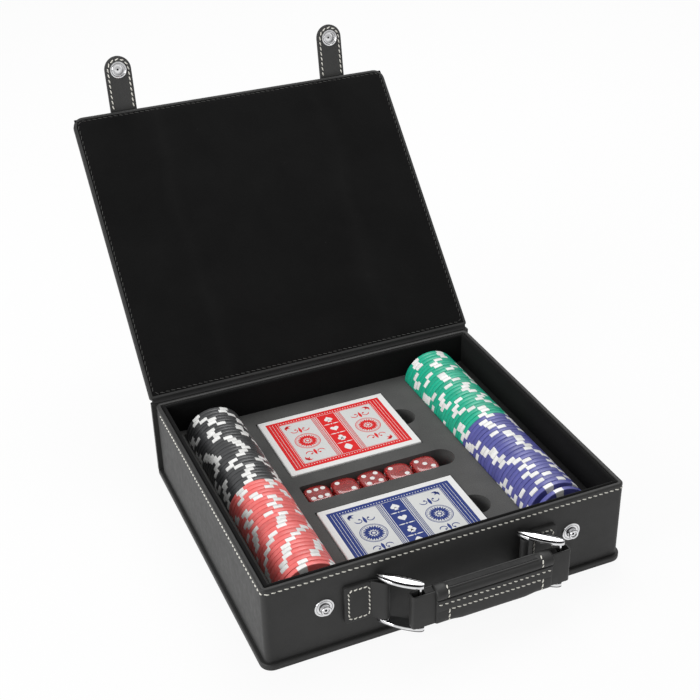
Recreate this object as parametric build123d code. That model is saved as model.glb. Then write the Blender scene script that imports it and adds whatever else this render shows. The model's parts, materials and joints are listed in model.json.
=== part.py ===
from build123d import *
import math
import os

# Travel case for poker chips, cards and dice, standing open on a table.
# X runs to the right along the front wall, Y to the back, Z up.
# The origin is on the table, under the middle of the side walls. All sizes are millimetres.

# Case walls and boards
case_width = 230.0
case_depth = 203.4
rim_height = 57.4
case_corner = 3.5
leather = 0.7
wall_board = 1.4
hem_depth = 8.0
rim_round = 0.5

# Base, spine and lid are boards wrapped in cover leather
cover_overhang = 2.5
base_front_overhang = 2.3
base_thickness = 4.2
spine_thickness = 3.6
spine_drop = 0.4
lid_thickness = 4.2
lid_front_overhang = 1.5
cover_leather = 0.8
cover_corner = 7.5
cover_back_corner = 2.0
cover_round = 1.0
lining_margin = 2.0
lining_proud = 0.15
fit_gap = 0.1

# Velvet liners and the floor card
liner_thickness = 3.0
liner_drop = 0.4
liner_round = 1.4
liner_corner = 0.3
turn_in = 8.0

# Lid hinge
lid_gap = 0.5
hinge_setback = 1.7
hinge_rise = 0.95
hinge_clearance = 0.8
fold_ease = 0.3
open_angle = 134.7

# Foam tray
tray_clearance = 0.2
tray_top = 35.4
outer_bank = 8.1
front_bank = 5.2
deck_bank = 7.8
slot_bank_share = 0.3034
channel_back_bank = 5.1
channel_front_bank = 4.3
row_front_room = 7.4
notch_radius = 9.5

# Chips lie on edge, in two rows of two colours
chip_radius = 19.5
chip_edge = 0.35
chips_per_colour = 25
chip_spacing = 0.05
chip_clearance = 0.3
chip_sink = 1.2
row_play = 3.4
left_lean = 2.0
right_lean = 4.0

# Card boxes and the packs inside them
deck_length = 90.9
deck_width = 64.8
deck_height = 18.5
deck_proud = 0.6
deck_clearance = 0.8
deck_paper = 0.5
card_clearance = 0.4
card_corner = 3.2
flap_tongue = 14.0

# Dice
dice_size = 16.0
dice_round = 2.4
dice_sink = 1.6
dice_pitch = 18.45
dice_end_gap = 1.6
dice_yaws = [0.5, -2.0, 2.5, -2.5, 1.5]
slot_clearance = 0.8
slot_finger = 11.0
slot_corner = 1.5

# Closing straps and their snap fasteners
strap_x = 79.3
strap_width = 18.7
strap_thickness = 2.4
strap_root = 40.0
strap_bend = 1.0
strap_set = 36.0
socket_reach = 29.1
socket_radius = 5.9
socket_thickness = 1.0
socket_round = 0.4
socket_groove = 0.3
groove_inner = 3.6
groove_outer = 4.3
socket_bore = 2.7
barrel_wall = 0.7
cap_radius = 6.3
cap_height = 1.8
cap_round = 1.4
stud_radius = 6.0
stud_rim = 0.8
stud_round = 0.5
stud_boss_radius = 3.7
post_radius = 2.3
post_entry = 1.5
post_round = 0.8
dimple_radius = 0.9
dimple_depth = 0.75
shank_radius = 1.5
rivet_radius = 4.5
rivet_thickness = 0.6
snap_clearance = 0.2

# Carrying handle on two swinging links
handle_z = 30.7
tab_pin_x = 44.6
pin_standoff = 5.4
handle_sag = 1.2
link_length = 20.5
link_rest = 46.6
pin_radius = 1.2
pin_play = 0.5
bar_tail = 6.5
bar_nose = 4.1
bar_tip = 1.6
bar_width = 7.6
bar_thickness = 3.2
bar_crown = 0.8
bar_gap = 0.4
tab_height = 26.0
tab_layer = 1.2
tab_patch_end = 68.0
tab_patch_length = 16.0
tab_corner = 1.5
belt_height = 23.0
belt_layer = 1.3
belt_play = 0.7
belt_slack = 2.9
core_end_gap = 0.6
grip_length = 74.4
grip_height = 25.6
grip_leather = 1.1
grip_round = 3.2

# Places that follow from the sizes above
half_width = case_width / 2
half_depth = case_depth / 2
cover_half = half_width + cover_overhang
rim_width = leather + wall_board + leather
liner_out = rim_width + fit_gap
liner_in = liner_out + liner_thickness
tray_half_x = half_width - liner_in - tray_clearance
tray_half_y = half_depth - liner_in - tray_clearance
spine_back = half_depth + spine_thickness
spine_top = rim_height - spine_drop

hinge_y = half_depth + hinge_setback
lid_low = rim_height + lid_gap
lid_high = lid_low + lid_thickness
hinge_z = lid_low + hinge_rise
lid_front = -(half_depth + lid_front_overhang)
lid_back = hinge_y - hinge_clearance
hinge_axis = Axis((0, hinge_y, hinge_z), (1, 0, 0))

pivot_y = lid_front - strap_bend
strap_axis = Axis((0, pivot_y, lid_high), (1, 0, 0))
strap_gap = -half_depth - pivot_y
snap_z = lid_high - socket_reach

channel_radius = chip_radius + chip_clearance
row_x = tray_half_x - outer_bank - channel_radius
row_z = tray_top - chip_sink
row_back = tray_half_y - channel_back_bank - chip_clearance
row_front = row_front_room - tray_half_y
chip_pitch = (row_back - row_front - row_play) / (2 * chips_per_colour)
chip_thickness = chip_pitch - chip_spacing

slot_width = dice_size + 2 * slot_clearance
pocket_left = -row_x + channel_radius + deck_bank
slot_left = pocket_left + deck_clearance
pocket_length = deck_length + 2 * deck_clearance
pocket_width = deck_width + 2 * deck_clearance
spare_depth = 2 * tray_half_y - front_bank - 2 * pocket_width - slot_width
slot_bank = slot_bank_share * spare_depth
blue_y = -tray_half_y + front_bank + pocket_width / 2
slot_y = blue_y + pocket_width / 2 + slot_bank + slot_width / 2
red_y = slot_y + slot_width / 2 + slot_bank + pocket_width / 2
deck_x = pocket_left + pocket_length / 2
deck_low = tray_top + deck_proud - deck_height
dice_low = tray_top - dice_sink - dice_size

wall_front_y = -half_depth
tab_pin_y = wall_front_y - pin_standoff
link_angle = math.radians(link_rest)
belt_dx = link_length * math.sin(link_angle)
belt_y = tab_pin_y - link_length * math.cos(link_angle)
belt_radius = pin_radius + belt_play + belt_layer
hang_z = handle_z - handle_sag
link_inside = max(tab_height / 2, grip_height / 2 + handle_sag) + bar_gap
bar_length = bar_tail + link_length + bar_nose


def save(name, shape):
    export_step(shape, "parts/" + name + ".step")


def plate(half_x, y_front, y_back, z_low, z_high, front_radius=0.0, back_radius=0.0):
    face = Pos(0, (y_front + y_back) / 2) * Rectangle(2 * half_x, y_back - y_front)
    if front_radius > 0:
        face = fillet(face.vertices().sort_by(Axis.Y)[:2], front_radius)
    if back_radius > 0:
        face = fillet(face.vertices().sort_by(Axis.Y)[-2:], back_radius)
    return Pos(0, 0, z_low) * extrude(face, z_high - z_low)


def inset_block(inset, z_low, z_high):
    width = case_width - 2 * inset
    depth = case_depth - 2 * inset
    radius = max(case_corner - inset, 0.0)
    face = RectangleRounded(width, depth, radius) if radius > 0.05 else Rectangle(width, depth)
    return Pos(0, 0, z_low) * extrude(face, z_high - z_low)


def inset_ring(outer, inner, z_low, z_high):
    return inset_block(outer, z_low, z_high) - inset_block(inner, z_low, z_high)


def mitre_wedge(side, depth):
    # The region of one wall, bounded by the 45 degree mitre lines at its two corners
    w = half_width
    d = half_depth
    corners = {
        "front": [(-w, -d), (w, -d), (w - depth, depth - d), (depth - w, depth - d)],
        "back": [(w, d), (-w, d), (depth - w, d - depth), (w - depth, d - depth)],
        "left": [(-w, d), (-w, -d), (depth - w, depth - d), (depth - w, d - depth)],
        "right": [(w, -d), (w, d), (w - depth, d - depth), (w - depth, depth - d)],
    }
    face = make_face(Polyline(*corners[side], close=True))
    return extrude(face, rim_height)


def front_cylinder(x, z, y_start, y_end, radius):
    # A round solid along Y, between two Y values
    length = abs(y_end - y_start)
    middle = (y_start + y_end) / 2
    return Pos(x, middle, z) * Rot(X=90) * Cylinder(radius, length)


def rounded_slab(slab):
    edges = slab.faces().sort_by(Axis.Z)[0].edges() + slab.faces().sort_by(Axis.Z)[-1].edges()
    return fillet(edges, cover_round)


# Base, spine and walls

def base_core():
    inset = cover_leather
    y_front = -(half_depth + base_front_overhang) + inset
    return plate(
        cover_half - inset, y_front, spine_back - inset,
        inset, base_thickness - inset, cover_corner - inset, cover_back_corner - inset,
    )


def floor_window(gap):
    half_x = half_width - liner_in - turn_in - gap
    half_y = half_depth - liner_in - turn_in - gap
    return plate(half_x, -half_y, half_y, base_thickness - cover_leather, base_thickness)


def base_cover():
    y_front = -(half_depth + base_front_overhang)
    slab = plate(cover_half, y_front, spine_back, 0, base_thickness, cover_corner, cover_back_corner)
    return rounded_slab(slab) - base_core() - floor_window(0)


def spine_core():
    return plate(
        cover_half - cover_leather, half_depth, spine_back - cover_leather,
        base_thickness, spine_top - cover_leather,
    )


def spine_cover():
    block = plate(cover_half, half_depth, spine_back, base_thickness, spine_top)
    back = block.faces().sort_by(Axis.Y)[-1]
    upright = back.edges().filter_by(Axis.Z)
    return fillet(upright, cover_round) - spine_core()


def side_cover():
    skin = inset_ring(0, leather, base_thickness, rim_height)
    top = inset_ring(0, rim_width, rim_height - leather, rim_height)
    hem = inset_ring(rim_width - leather, rim_width, rim_height - hem_depth, rim_height)
    cover = skin + top + hem
    edges = cover.faces().sort_by(Axis.Z)[-1].edges()
    cover = fillet(edges, rim_round)
    for side in (-1, 1):
        cover -= front_cylinder(side * strap_x, snap_z, wall_front_y, wall_front_y + leather, shank_radius)
    return cover


def wall(side):
    ring = inset_ring(leather, leather + wall_board, base_thickness, rim_height - leather)
    board = ring & mitre_wedge(side, 2 * rim_width)
    if side == "front":
        inner = wall_front_y + leather + wall_board
        for hand in (-1, 1):
            board -= front_cylinder(hand * strap_x, snap_z, wall_front_y, inner, shank_radius)
    return board


def liner(side):
    # One padded strip, cut along the mitre lines where it meets its neighbours
    turn = {"front": 0, "right": 90, "back": 180, "left": 270}[side]
    along_x = side in ("front", "back")
    half, reach = (half_width, half_depth) if along_x else (half_depth, half_width)
    high = rim_height - liner_drop
    height = high - base_thickness
    middle = Pos(0, (liner_out + liner_in) / 2 - reach, base_thickness + height / 2)
    strip = middle * Box(2 * half, liner_thickness, height)
    strip = fillet(strip.faces().sort_by(Axis.Z)[-1].edges().filter_by(Axis.X), liner_round)
    inset = [liner_out + 2 * liner_corner, liner_out + liner_corner / 2, 2 * liner_in]
    rise = [liner_out - liner_corner, liner_out + liner_corner / 2, 2 * liner_in]
    left_end = [(x - half, y - reach) for x, y in zip(inset, rise)]
    right_end = [(-x, y) for x, y in reversed(left_end)]
    wedge = extrude(make_face(Polyline(*left_end, *right_end, close=True)), rim_height)
    return Rot(Z=turn) * (strip & wedge)


# Foam tray and what it holds

def row_channel(x):
    y_back = row_back + chip_clearance
    y_front = -tray_half_y + channel_front_bank
    trough = front_cylinder(x, row_z, y_front, y_back, channel_radius)
    middle = (y_front + y_back) / 2
    mouth = Pos(x, middle, row_z + chip_radius / 2)
    return trough + mouth * Box(2 * channel_radius, y_back - y_front, chip_radius)


def deck_pocket(y):
    depth = tray_top - deck_low
    pocket = Pos(deck_x, y, deck_low + depth / 2) * Box(pocket_length, pocket_width, depth)
    notch_x = deck_x + pocket_length / 2
    notch = Pos(notch_x, y, deck_low + depth / 2) * Cylinder(notch_radius, depth)
    return pocket + notch


def dice_slot():
    count = len(dice_yaws)
    straight = dice_end_gap + dice_size + (count - 1) * dice_pitch + slot_finger
    body = Pos(slot_left + straight / 2, slot_y) * Rectangle(straight, slot_width)
    body = fillet(body.vertices().sort_by(Axis.X)[:2], slot_corner)
    end = Pos(slot_left + straight - slot_width / 2 + slot_corner, slot_y) * Circle(slot_width / 2)
    trimmed = body - Pos(slot_left + straight, slot_y) * Rectangle(slot_width - 2 * slot_corner, slot_width)
    return Pos(0, 0, dice_low) * extrude(trimmed + end, tray_top - dice_low)


def foam_tray():
    middle = (base_thickness + tray_top) / 2
    tray = Pos(0, 0, middle) * Box(2 * tray_half_x, 2 * tray_half_y, tray_top - base_thickness)
    for side in (-1, 1):
        tray -= row_channel(side * row_x)
    for y in (red_y, blue_y):
        tray -= deck_pocket(y)
    return tray - dice_slot()


def chip():
    disc = Rot(X=90) * Cylinder(chip_radius, chip_thickness)
    return fillet(disc.edges().filter_by(GeomType.CIRCLE), chip_edge)


def row_places(side):
    # Middle (Y, Z) and lean of each chip of a row, from the back; the last one leans back.
    # The left row's free room is behind it, and the right row's is before its last chip.
    start = row_back - (row_play if side < 0 else 0.0)
    upright = 2 * chips_per_colour - 1
    places = [(start - (index + 0.5) * chip_pitch, row_z, 0.0) for index in range(upright)]
    lean = left_lean if side < 0 else right_lean
    tilt = math.radians(lean)
    reach = chip_radius * math.sin(tilt) + chip_thickness / 2 * math.cos(tilt)
    room = 2 * chip_spacing + (0.0 if side < 0 else row_play)
    z = row_z - chip_radius * (1 - math.cos(tilt)) + chip_thickness / 2 * math.sin(tilt)
    places.append((start - upright * chip_pitch - room - reach, z, lean))
    return places


def chip_stack(side, first):
    stack = []
    for y, z, lean in row_places(side)[first:first + chips_per_colour]:
        stack.append(Pos(side * row_x, y, z) * Rot(X=-lean) * chip())
    return Compound(children=stack)


def deck_box(y):
    middle = deck_low + deck_height / 2
    outer = Pos(deck_x, y, middle) * Box(deck_length, deck_width, deck_height)
    inner_length = deck_length - deck_paper
    inner = Pos(deck_x + deck_paper / 2, y, middle)
    inner *= Box(inner_length, deck_width - 2 * deck_paper, deck_height - 2 * deck_paper)
    return outer - inner


def tuck_flap(y):
    # The end panel and, bent from it, the tongue that lies on the cards inside the box
    middle = deck_low + deck_height / 2
    width = deck_width - 2 * deck_paper - 2 * fit_gap
    height = deck_height - 2 * deck_paper - 2 * fit_gap
    end_x = deck_x + deck_length / 2
    panel = Pos(end_x - deck_paper / 2, y, middle) * Box(deck_paper, width, height)
    tongue_z = middle + height / 2 - deck_paper / 2
    tongue = Pos(end_x - flap_tongue / 2, y, tongue_z) * Box(flap_tongue, width, deck_paper)
    return panel + tongue


def card_pack(y):
    clear = deck_paper + card_clearance
    length = deck_length - 2 * clear
    width = deck_width - 2 * clear
    low = deck_low + deck_paper
    high = deck_low + deck_height - 2 * deck_paper - 2 * fit_gap
    return Pos(deck_x, y, low) * extrude(RectangleRounded(length, width, card_corner), high - low)


def die(index):
    x = slot_left + dice_end_gap + dice_size / 2 + index * dice_pitch
    cube = fillet(Box(dice_size, dice_size, dice_size).edges(), dice_round)
    return Pos(x, slot_y, dice_low + dice_size / 2) * Rot(Z=dice_yaws[index]) * cube


# Lid, built closed and then swung open about its hinge

def opened(shape):
    return shape.rotate(hinge_axis, -open_angle)


def lid_core():
    inset = cover_leather
    return plate(
        cover_half - inset, lid_front + inset, lid_back - inset,
        lid_low + inset, lid_high - inset, cover_corner - inset, cover_back_corner - inset,
    )


def lid_window(margin, z_low):
    radius = cover_corner - margin
    return plate(
        cover_half - margin, lid_front + margin, lid_back - margin,
        z_low, lid_low + cover_leather, radius, fit_gap,
    )


def lid_cover():
    slab = plate(cover_half, lid_front, lid_back, lid_low, lid_high, cover_corner, cover_back_corner)
    return opened(rounded_slab(slab) - lid_core() - lid_window(lining_margin, lid_low))


def lid_lining():
    return opened(lid_window(lining_margin + fit_gap, lid_low - lining_proud))


def hinge_fold():
    # The soft fold between the top of the spine and the back edge of the open lid
    turn = math.radians(180 - open_angle)
    along = (math.cos(turn), math.sin(turn))
    outward = (math.sin(turn), -math.cos(turn))

    def lid_point(u, w):
        y = hinge_y + u * along[0] + w * outward[0]
        return (y, hinge_z + u * along[1] + w * outward[1])

    edge = hinge_clearance - fit_gap
    outer_w = lid_thickness / 2
    low = spine_top + fit_gap
    points = [
        (half_depth + fold_ease, low),
        (spine_back - fit_gap, low),
        lid_point(edge, outer_w),
        lid_point(edge, -hinge_rise + fit_gap),
        (half_depth + fold_ease, hinge_z),
    ]
    face = make_face(Polyline(*points, close=True))
    return extrude(Plane.YZ * face, cover_half - cover_back_corner, both=True)


# Closing straps, built closed and folded, then unfolded to their set and swung open

def unfolded(shape):
    return opened(shape.rotate(strap_axis, strap_set - 90))


def strap_root_piece(x):
    middle_y = lid_front + strap_root / 2
    return opened(
        Pos(x, middle_y, lid_high + strap_thickness / 2)
        * Box(strap_width, strap_root, strap_thickness)
    )


def strap_flap(x):
    tip = strap_width / 2
    strip = Pos(x, lid_high - socket_reach / 2) * Rectangle(strap_width, socket_reach)
    outline = strip + Pos(x, snap_z) * Circle(tip)
    solid = Pos(0, pivot_y, 0) * extrude(Plane.XZ * outline, strap_thickness)
    hole = socket_bore + barrel_wall + fit_gap
    return unfolded(solid - front_cylinder(x, snap_z, pivot_y, pivot_y - strap_thickness, hole))


def strap_fold(x):
    # The bent leather between the sewn root and the flap, at the flap's own set
    turn = math.radians(strap_set)
    root_y = lid_front - fit_gap
    points = [
        (root_y, lid_high + fit_gap),
        (root_y, lid_high + strap_thickness),
        (pivot_y - (strap_thickness - fit_gap) * math.sin(turn) + fit_gap,
         lid_high + (strap_thickness - fit_gap) * math.cos(turn) + fit_gap),
        (pivot_y + fit_gap, lid_high + fit_gap),
    ]
    face = make_face(Polyline(*points, close=True))
    return opened(Pos(x, 0, 0) * extrude(Plane.YZ * face, strap_width / 2, both=True))


def snap_socket(x):
    inner = pivot_y + socket_thickness
    ring = front_cylinder(x, snap_z, pivot_y, inner, socket_radius)
    face = ring.faces().sort_by(Axis.Y)[-1]
    ring = fillet(face.edges(), socket_round)
    groove = front_cylinder(x, snap_z, inner - socket_groove, inner, groove_outer)
    groove -= front_cylinder(x, snap_z, inner - socket_groove, inner, groove_inner)
    return unfolded(ring - groove - front_cylinder(x, snap_z, pivot_y, inner, socket_bore))


def snap_cap(x):
    outer = pivot_y - strap_thickness
    dome = front_cylinder(x, snap_z, outer, outer - cap_height, cap_radius)
    dome = fillet(dome.faces().sort_by(Axis.Y)[0].edges(), cap_round)
    barrel = front_cylinder(x, snap_z, pivot_y, outer, socket_bore + barrel_wall)
    barrel -= front_cylinder(x, snap_z, pivot_y, outer, socket_bore)
    return unfolded(dome + barrel)


def snap_stud(x):
    boss_end = wall_front_y - (strap_gap - socket_thickness - snap_clearance)
    post_end = pivot_y - post_entry
    rim = front_cylinder(x, snap_z, wall_front_y, wall_front_y - stud_rim, stud_radius)
    rim = fillet(rim.faces().sort_by(Axis.Y)[0].edges(), stud_round)
    boss = front_cylinder(x, snap_z, wall_front_y, boss_end, stud_boss_radius)
    post = front_cylinder(x, snap_z, boss_end, post_end, post_radius)
    post = fillet(post.faces().sort_by(Axis.Y)[0].edges(), post_round)
    back = wall_front_y + leather + wall_board
    shank = front_cylinder(x, snap_z, wall_front_y, back, shank_radius)
    dimple = front_cylinder(x, snap_z, post_end + dimple_depth, post_end, dimple_radius)
    return rim + boss + post + shank - dimple


def stud_rivets():
    start = wall_front_y + leather + wall_board
    return Compound(children=[
        front_cylinder(side * strap_x, snap_z, start, start + rivet_thickness, rivet_radius)
        for side in (-1, 1)
    ])


# Carrying handle: sewn tabs, chrome links and the padded handle

def tangent_point(px, py, cx, cy, radius, side):
    # Where a line from (px, py) touches a circle, on the left (1) or right (-1) of the way there
    dx = cx - px
    dy = cy - py
    distance = math.hypot(dx, dy)
    swing = math.acos(radius / distance) * side
    angle = math.atan2(-dy, -dx) - swing
    return (cx + radius * math.cos(angle), cy + radius * math.sin(angle))


def teardrop(x_neck, y_wall, y_front, cx, cy, radius):
    # Two leather layers leaving the patch and running round the pin
    near = tangent_point(x_neck, y_wall, cx, cy, radius, -1)
    far = tangent_point(x_neck, y_front, cx, cy, radius, 1)
    points = [(x_neck, y_wall), near, (cx, cy), far, (x_neck, y_front)]
    return make_face(Polyline(*points, close=True)) + Pos(cx, cy) * Circle(radius)


def tab():
    # The right tab; the left one is its mirror image
    outer_radius = pin_radius + pin_play + tab_layer
    inner_radius = pin_radius + pin_play
    neck = tab_patch_end - tab_patch_length
    patch_out = wall_front_y - 2 * tab_layer
    patch = Pos(tab_patch_end - tab_patch_length / 2, wall_front_y - tab_layer)
    outline = patch * Rectangle(tab_patch_length, 2 * tab_layer)
    outline += teardrop(neck, wall_front_y, patch_out, tab_pin_x, tab_pin_y, outer_radius)
    seam = wall_front_y - tab_layer
    hollow = teardrop(neck - tab_layer, seam, seam - fit_gap, tab_pin_x, tab_pin_y, inner_radius)
    solid = Pos(0, 0, handle_z - tab_height / 2) * extrude(outline - hollow, tab_height)
    ends = solid.faces().sort_by(Axis.X)[-1].edges().filter_by(Axis.Y)
    return fillet(ends, tab_corner)


def link_bar(z_low, crown_up):
    # A pointed bar: the overlap of two discs, crowned on its outer face; its tail is at the tab
    half = bar_width / 2
    disc_radius = (bar_length ** 2 / 4 + half ** 2) / (2 * half)
    offset = disc_radius - half
    lens = Pos(0, offset) * Circle(disc_radius) & Pos(0, -offset) * Circle(disc_radius)
    tips = Rectangle(bar_length - 2 * bar_tip, bar_width)
    bar = extrude(lens & tips, bar_thickness)
    face = bar.faces().sort_by(Axis.Z)[-1 if crown_up else 0]
    return Pos((bar_nose - bar_tail) / 2, 0, z_low) * fillet(face.edges(), bar_crown)


def link(hand):
    bars = link_bar(link_inside, True) + link_bar(-link_inside - bar_thickness, False)
    for end in (-1, 1):
        pin = Cylinder(pin_radius, 2 * link_inside + bar_thickness)
        bars += Pos(end * link_length / 2, 0, 0) * pin
    middle_x = hand * tab_pin_x + belt_dx / 2
    middle_y = (tab_pin_y + belt_y) / 2
    return Pos(middle_x, middle_y, handle_z) * Rot(Z=link_rest - 90) * bars


def handle_belt():
    spacing = 2 * (tab_pin_x + belt_slack)
    outer = SlotCenterToCenter(spacing, 2 * belt_radius)
    inner = SlotCenterToCenter(spacing, 2 * (belt_radius - belt_layer))
    ring = extrude(outer - inner, belt_height)
    return Pos(belt_dx, belt_y, hang_z - belt_height / 2) * ring


def handle_core():
    length = 2 * (tab_pin_x - belt_radius + belt_layer - core_end_gap)
    thickness = 2 * (belt_radius - belt_layer - fit_gap)
    return Pos(belt_dx, belt_y, hang_z) * Box(length, thickness, belt_height - 2 * fit_gap)


def handle_grip():
    hollow_y = 2 * (belt_radius + fit_gap)
    outline = RectangleRounded(hollow_y + 2 * grip_leather, grip_height, grip_round)
    opening = Rectangle(hollow_y, belt_height + 2 * fit_gap)
    sleeve = extrude(Plane.YZ * (outline - opening), grip_length / 2, both=True)
    return Pos(belt_dx, belt_y, hang_z) * sleeve


def build_all():
    os.makedirs("parts", exist_ok=True)
    save("base_board", base_core())
    save("base_leather", base_cover())
    save("floor_card", floor_window(fit_gap))
    save("spine_board", spine_core())
    save("spine_leather", spine_cover())
    save("side_leather", side_cover())
    for side in ("front", "back", "left", "right"):
        save("wall_" + side, wall(side))
        save("liner_" + side, liner(side))
    save("foam_tray", foam_tray())
    save("lid_board", opened(lid_core()))
    save("lid_leather", lid_cover())
    save("lid_lining", lid_lining())
    save("hinge_leather", hinge_fold())
    for name, side in (("left", -1), ("right", 1)):
        x = side * strap_x
        save("strap_root_" + name, strap_root_piece(x))
        save("strap_fold_" + name, strap_fold(x))
        save("strap_flap_" + name, strap_flap(x))
        save("snap_socket_" + name, snap_socket(x))
        save("snap_cap_" + name, snap_cap(x))
        save("snap_stud_" + name, snap_stud(x))
        save("handle_link_" + name, link(side))
    save("stud_rivets", stud_rivets())
    save("handle_tab_right", tab())
    save("handle_tab_left", mirror(tab(), Plane.YZ))
    save("handle_belt", handle_belt())
    save("handle_core", handle_core())
    save("handle_grip", handle_grip())
    for colour, y in (("red", red_y), ("blue", blue_y)):
        save("card_box_" + colour, deck_box(y))
        save("tuck_flap_" + colour, tuck_flap(y))
        save("card_pack_" + colour, card_pack(y))
    for index in range(len(dice_yaws)):
        save("die_" + str(index + 1), die(index))
    save("chips_black", chip_stack(-1, 0))
    save("chips_red", chip_stack(-1, chips_per_colour))
    save("chips_green", chip_stack(1, 0))
    save("chips_blue", chip_stack(1, chips_per_colour))


build_all()
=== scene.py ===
import bmesh
import bpy
import json
import random
from math import acos, asin, atan2, cos, exp, hypot, pi, radians, sin, sqrt, tan
from mathutils import Matrix, Vector, noise

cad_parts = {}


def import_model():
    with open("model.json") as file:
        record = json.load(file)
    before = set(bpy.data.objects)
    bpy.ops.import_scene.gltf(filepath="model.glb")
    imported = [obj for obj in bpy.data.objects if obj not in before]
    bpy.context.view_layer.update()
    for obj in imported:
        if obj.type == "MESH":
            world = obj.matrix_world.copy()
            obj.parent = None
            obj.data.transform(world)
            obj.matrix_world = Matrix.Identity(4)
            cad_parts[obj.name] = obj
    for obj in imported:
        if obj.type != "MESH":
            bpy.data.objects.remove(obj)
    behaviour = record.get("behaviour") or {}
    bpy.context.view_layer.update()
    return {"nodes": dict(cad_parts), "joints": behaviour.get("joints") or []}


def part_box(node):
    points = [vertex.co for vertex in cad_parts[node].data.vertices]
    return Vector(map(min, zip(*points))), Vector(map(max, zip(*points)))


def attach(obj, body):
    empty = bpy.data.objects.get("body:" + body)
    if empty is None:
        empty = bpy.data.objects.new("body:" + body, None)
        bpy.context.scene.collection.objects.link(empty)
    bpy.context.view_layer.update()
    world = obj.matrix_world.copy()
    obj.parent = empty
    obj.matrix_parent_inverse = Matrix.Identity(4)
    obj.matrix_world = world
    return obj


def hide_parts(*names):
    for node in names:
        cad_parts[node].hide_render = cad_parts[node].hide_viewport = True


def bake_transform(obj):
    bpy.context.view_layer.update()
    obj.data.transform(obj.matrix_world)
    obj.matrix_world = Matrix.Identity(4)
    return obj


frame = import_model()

# Looks of a poker set case. Shapes are worked out in millimetres and written in metres.
MM = 0.001
X, Y, Z = Matrix.Identity(3)
chance = random.Random(11)
scene = bpy.context.scene


# Places from the frame

def cad_box(node):
    low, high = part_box(node)
    return low / MM, high / MM


def joint(name):
    return next(j for j in frame["joints"] if j["name"] == name)


def joint_place(name):
    return Vector(joint(name)["pos_m"]) / MM


def joint_reach(name):
    return radians(joint(name)["range_deg"][1])


def about_x(point, pivot, angle):
    y = point.y - pivot.y
    z = point.z - pivot.z
    c = cos(angle)
    s = sin(angle)
    return Vector((point.x, pivot.y + y * c - z * s, pivot.z + y * s + z * c))


HINGE = joint_place("lid_hinge")
OPEN = joint_reach("lid_hinge")
STRAP_SET = radians(90) - joint_reach("strap_left_fold")


def lid_open(point):
    return about_x(point, HINGE, -OPEN)


def lid_shut(point):
    return about_x(point, HINGE, OPEN)


def corners(points):
    """The lowest and the highest corner round some points"""
    return [Vector([end(p[k] for p in points) for k in range(3)]) for end in (min, max)]


WALL_LOW, WALL_HIGH = cad_box("side_leather")
LID_COVER = frame["nodes"]["lid_leather"].data.vertices
LID_LOW, LID_HIGH = corners([lid_shut(v.co / MM) for v in LID_COVER])
RIM = WALL_HIGH.z
STITCH_PITCH = 3.75
STITCH_RADIUS = 0.43
STITCH_SLANT = 0.24


# Mesh building

def steps(low, high, count):
    """Even steps from low to high, both included"""
    return [low + (high - low) * k / count for k in range(count + 1)]


def turns(count, start=0.0):
    """Even angles round a full turn"""
    return [start + 2 * pi * k / count for k in range(count)]


def on_circle(radius, angle, u=0.0, v=0.0):
    return u + radius * cos(angle), v + radius * sin(angle)


def put(name, data):
    made = bpy.data.objects.new(name, data)
    scene.collection.objects.link(made)
    return made


def face_outwards(mesh, merge=False):
    """Turns every face outwards, after merging the points that meet where asked"""
    tool = bmesh.new()
    tool.from_mesh(mesh)
    if merge:
        bmesh.ops.remove_doubles(tool, verts=tool.verts, dist=1e-6)
    bmesh.ops.recalc_face_normals(tool, faces=tool.faces)
    tool.to_mesh(mesh)
    tool.free()


class Piece:
    """Gathers points in millimetres and faces, then makes one object"""

    def __init__(self):
        self.points = []
        self.faces = []
        self.slots = []

    def add(self, points, faces, slots):
        start = len(self.points)
        self.points.extend(Vector(p) for p in points)
        self.faces.extend([start + i for i in face] for face in faces)
        self.slots.extend(slots)

    def skin(self, rings, slot=0, closed=True, joined=False, caps=False):
        """Quads between neighbouring rings of points; slot may be a rule of (ring, place)"""
        count = len(rings[0])
        rule = slot if callable(slot) else lambda r, i: slot
        faces = []
        slots = []
        for r in range(len(rings) if joined else len(rings) - 1):
            a = r * count
            b = (r + 1) % len(rings) * count
            for i in range(count if closed else count - 1):
                j = (i + 1) % count
                faces.append([a + i, a + j, b + j, b + i])
                slots.append(rule(r, i))
        if caps:
            whole = len(rings) * count
            faces += [range(count)[::-1], range(whole - count, whole)]
            slots += [0 if callable(slot) else slot] * 2
        self.add([p for ring in rings for p in ring], faces, slots)

    def make(self, name, materials, body=None, replaces=(), place=None, angle=38):
        """The object, dressed and riding; edges sharper than angle (degrees) stay crisp"""
        points = [place(p) for p in self.points] if place else self.points
        mesh = bpy.data.meshes.new(name)
        mesh.from_pydata([p * MM for p in points], [], self.faces)
        for material in materials:
            mesh.materials.append(material)
        mesh.polygons.foreach_set("material_index", self.slots)
        face_outwards(mesh)
        mesh.shade_smooth()
        mesh.set_sharp_from_angle(angle=radians(angle))
        piece = put(name, mesh)
        if body:
            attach(piece, body)
        if replaces:
            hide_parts(*replaces)
        return piece


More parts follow.
